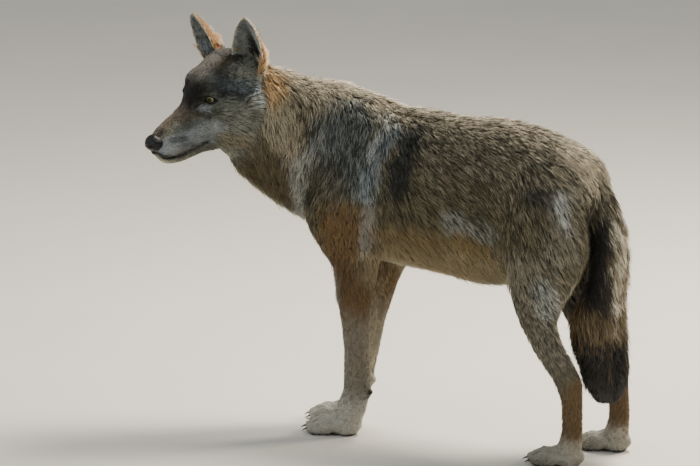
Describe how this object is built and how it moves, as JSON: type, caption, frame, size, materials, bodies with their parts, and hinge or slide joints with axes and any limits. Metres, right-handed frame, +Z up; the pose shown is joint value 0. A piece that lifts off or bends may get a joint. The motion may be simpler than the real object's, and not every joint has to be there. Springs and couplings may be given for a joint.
{
  "type": "timber wolf",
  "caption": "Life-size timber wolf standing still, head turned to its left, ears up, mouth closed, thick grizzled coat, bushy tail hanging low.",
  "frame": {"origin": "on the floor, under the middle of the box round the whole wolf", "axes": "+X towards the tail, so the breast faces -X; +Y towards the wolf's right, so its left side faces -Y; +Z up from the floor"},
  "size_m": [0.9922, 0.4056, 0.8871],
  "materials": {
    "coat_grey": "dense guard hair over woolly underfur, grizzled grey-brown with black tips",
    "coat_tan": "short close hair, tan to cream",
    "coat_dark": "long brush, grey-brown with a black stripe and tip",
    "nose_skin": "moist black pebbled skin",
    "eye_amber": "clear wet cornea over a pale amber iris",
    "claw_horn": "dull dark horn"
  },
  "bodies": {
    "root": {"chest": "coat_grey", "ear_left": "coat_grey", "ear_right": "coat_grey", "eye_left": "eye_amber", "eye_right": "eye_amber", "head": "coat_grey", "left_dewclaw": "claw_horn", "left_foreleg": "coat_tan", "left_forepaw": "coat_tan", "left_forepaw_claw_1": "claw_horn", "left_forepaw_claw_2": "claw_horn", "left_forepaw_claw_3": "claw_horn", "left_forepaw_claw_4": "claw_horn", "left_hindpaw": "coat_tan", "left_hindpaw_claw_1": "claw_horn", "left_hindpaw_claw_2": "claw_horn", "left_hindpaw_claw_3": "claw_horn", "left_hindpaw_claw_4": "claw_horn", "left_shank": "coat_tan", "left_thigh": "coat_grey", "loins": "coat_grey", "lower_jaw": "coat_grey", "neck": "coat_grey", "nose": "nose_skin", "right_dewclaw": "claw_horn", "right_foreleg": "coat_tan", "right_forepaw": "coat_tan", "right_forepaw_claw_1": "claw_horn", "right_forepaw_claw_2": "claw_horn", "right_forepaw_claw_3": "claw_horn", "right_forepaw_claw_4": "claw_horn", "right_hindpaw": "coat_tan", "right_hindpaw_claw_1": "claw_horn", "right_hindpaw_claw_2": "claw_horn", "right_hindpaw_claw_3": "claw_horn", "right_hindpaw_claw_4": "claw_horn", "right_shank": "coat_tan", "right_thigh": "coat_grey", "tail": "coat_dark"}
  },
  "joints": []
}
